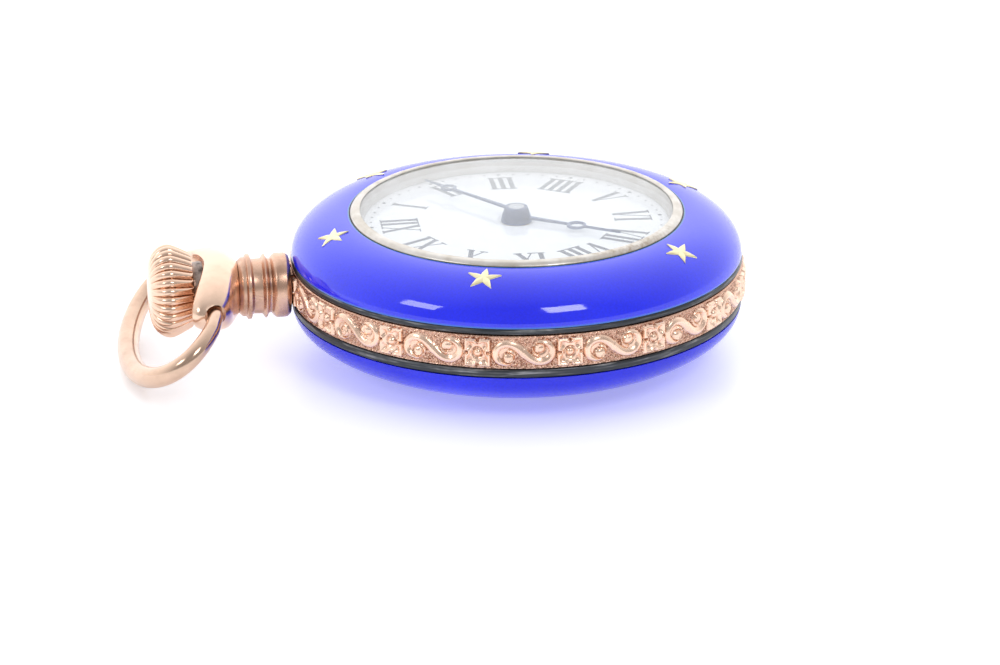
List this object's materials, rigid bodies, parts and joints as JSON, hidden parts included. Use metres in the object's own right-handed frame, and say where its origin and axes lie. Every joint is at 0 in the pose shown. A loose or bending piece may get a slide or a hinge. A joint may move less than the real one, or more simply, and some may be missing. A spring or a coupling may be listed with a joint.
{
  "type": "fob watch",
  "caption": "Open-face fob watch in a blue enamelled case with a chased rose-gold band, stars, a crowned pendant with a swinging bow, and a full wheel train inside.",
  "frame": {"origin": "middle of the flat spot on the back that the watch lies on", "axes": "+Z out of the dial, +Y along the pendant towards the crown (XII), +X towards III and the case hinges"},
  "size_m": [0.0291, 0.0392, 0.01],
  "materials": {
    "rose_gold": "rose gold, chased and polished, worn bright on the high spots",
    "blue_enamel": "translucent royal blue vitreous enamel, high gloss",
    "oxidised_silver": "darkened silver",
    "silver": "slightly tarnished silver-gilt",
    "glass": "clear watch glass",
    "pale_gold": "pale gold foil",
    "dial_enamel": "white fired enamel with black numerals",
    "blued_steel": "heat-blued steel",
    "brass": "gilt brass",
    "steel": "polished steel"
  },
  "bodies": {
    "case": {"case_middle": "rose_gold", "gold_band": "rose_gold", "pendant": "rose_gold", "bow_boss": "rose_gold", "case_knuckle_1": "rose_gold", "case_knuckle_2": "rose_gold", "case_knuckle_3": "rose_gold", "case_knuckle_4": "rose_gold", "bezel_hinge_pin": "steel", "back_hinge_pin": "steel", "main_plate": "brass", "dial": "dial_enamel", "barrel_bridge": "brass", "train_bridge": "brass", "balance_cock": "brass", "pallet_bridge": "brass", "click": "steel", "case_screw_1": "steel", "case_screw_2": "steel", "hairspring": "blued_steel"},
    "bezel": {"bezel": "oxidised_silver", "bezel_enamel": "blue_enamel", "crystal_ring": "silver", "crystal": "glass", "star_1": "pale_gold", "star_2": "pale_gold", "star_3": "pale_gold", "star_4": "pale_gold", "star_5": "pale_gold", "star_6": "pale_gold", "bezel_knuckle": "rose_gold"},
    "back": {"back_cover": "oxidised_silver", "back_enamel": "blue_enamel", "back_knuckle": "rose_gold"},
    "cuvette": {"cuvette": "rose_gold", "cuvette_knuckle": "rose_gold"},
    "bow": {"bow": "rose_gold"},
    "winding": {"winding_stem": "steel", "winding_pinion": "steel", "clutch_wheel": "steel"},
    "crown": {"crown": "rose_gold", "crown_core": "steel"},
    "crown_wheel": {"crown_wheel": "steel"},
    "ratchet": {"ratchet_wheel": "steel", "barrel_arbor": "steel"},
    "barrel": {"barrel": "brass", "barrel_lid": "brass", "mainspring": "steel"},
    "centre": {"centre_wheel": "brass"},
    "third": {"third_wheel": "brass"},
    "fourth": {"fourth_wheel": "brass"},
    "escape": {"escape_wheel": "steel"},
    "pallet": {"pallet_fork": "steel"},
    "balance": {"balance_wheel": "brass"},
    "minute": {"minute_hand": "blued_steel", "cannon_pinion": "blued_steel"},
    "minute_wheel": {"minute_wheel": "brass"},
    "hour": {"hour_hand": "blued_steel", "hour_wheel": "brass"}
  },
  "joints": [
    {"name": "bezel_hinge", "type": "hinge", "parent": "case", "child": "bezel", "pos_m": [0.01435, 0, 0.00591], "axis": [0, 1, 0], "range_deg": [0, 100]},
    {"name": "back_hinge", "type": "hinge", "parent": "case", "child": "back", "pos_m": [0.01435, 0, 0.00375], "axis": [0, -1, 0], "range_deg": [0, 100]},
    {"name": "cuvette_hinge", "type": "hinge", "parent": "case", "child": "cuvette", "pos_m": [0.01435, 0, 0.00375], "axis": [0, -1, 0], "range_deg": [0, 80]},
    {"name": "bow_swing", "type": "hinge", "parent": "case", "child": "bow", "pos_m": [0, 0.0192, 0.00483], "axis": [1, 0, 0], "range_deg": [-50, 129]},
    {"name": "crown_turn", "type": "hinge", "parent": "case", "child": "winding", "pos_m": [0, 0.018, 0.00483], "axis": [0, 1, 0], "continuous": true},
    {"name": "crown_pull", "type": "slide", "parent": "winding", "child": "crown", "axis": [0, 1, 0], "range_m": [0, 0.0008]},
    {"name": "crown_wheel_turn", "type": "hinge", "parent": "case", "child": "crown_wheel", "pos_m": [-0.00005, 0.00672, 0.0024], "axis": [0, 0, 1], "continuous": true},
    {"name": "ratchet_turn", "type": "hinge", "parent": "case", "child": "ratchet", "pos_m": [-0.0032, 0.0033, 0.0024], "axis": [0, 0, 1], "continuous": true},
    {"name": "minute_turn", "type": "hinge", "parent": "case", "child": "minute", "pos_m": [0, 0, 0.0087], "axis": [0, 0, 1], "continuous": true},
    {"name": "minute_wheel_turn", "type": "hinge", "parent": "case", "child": "minute_wheel", "pos_m": [0, 0.00235, 0.0072], "axis": [0, 0, 1], "continuous": true},
    {"name": "hour_turn", "type": "hinge", "parent": "case", "child": "hour", "pos_m": [0, 0, 0.0084], "axis": [0, 0, 1], "continuous": true},
    {"name": "fourth_turn", "type": "hinge", "parent": "case", "child": "fourth", "pos_m": [0.0038, -0.0016, 0.004], "axis": [0, 0, 1], "continuous": true},
    {"name": "third_turn", "type": "hinge", "parent": "case", "child": "third", "pos_m": [0.0032, 0.001, 0.004], "axis": [0, 0, 1], "continuous": true},
    {"name": "centre_turn", "type": "hinge", "parent": "case", "child": "centre", "pos_m": [0, 0, 0.004], "axis": [0, 0, 1], "continuous": true},
    {"name": "barrel_turn", "type": "hinge", "parent": "case", "child": "barrel", "pos_m": [-0.0032, 0.0033, 0.005], "axis": [0, 0, 1], "continuous": true},
    {"name": "escape_turn", "type": "hinge", "parent": "case", "child": "escape", "pos_m": [0.0032, -0.00395, 0.004], "axis": [0, 0, 1], "continuous": true},
    {"name": "pallet_rock", "type": "hinge", "parent": "case", "child": "pallet", "pos_m": [0.0015, -0.0049, 0.0048], "axis": [0, 0, 1], "range_deg": [-5, 5]},
    {"name": "balance_swing", "type": "hinge", "parent": "case", "child": "balance", "pos_m": [-0.0019, -0.0062, 0.004], "axis": [0, 0, 1], "range_deg": [-270, 270]}
  ],
  "couplings": [
    {"joint": "cuvette_hinge", "follows": "back_hinge", "ratio": 0.8},
    {"joint": "crown_wheel_turn", "follows": "crown_turn", "ratio": 0.625},
    {"joint": "ratchet_turn", "follows": "crown_turn", "ratio": -0.5},
    {"joint": "minute_wheel_turn", "follows": "minute_turn", "ratio": -0.375},
    {"joint": "hour_turn", "follows": "minute_turn", "ratio": 0.083333},
    {"joint": "third_turn", "follows": "fourth_turn", "ratio": -0.125},
    {"joint": "centre_turn", "follows": "fourth_turn", "ratio": 0.016667},
    {"joint": "barrel_turn", "follows": "fourth_turn", "ratio": -0.0025},
    {"joint": "escape_turn", "follows": "fourth_turn", "ratio": -10}
  ]
}
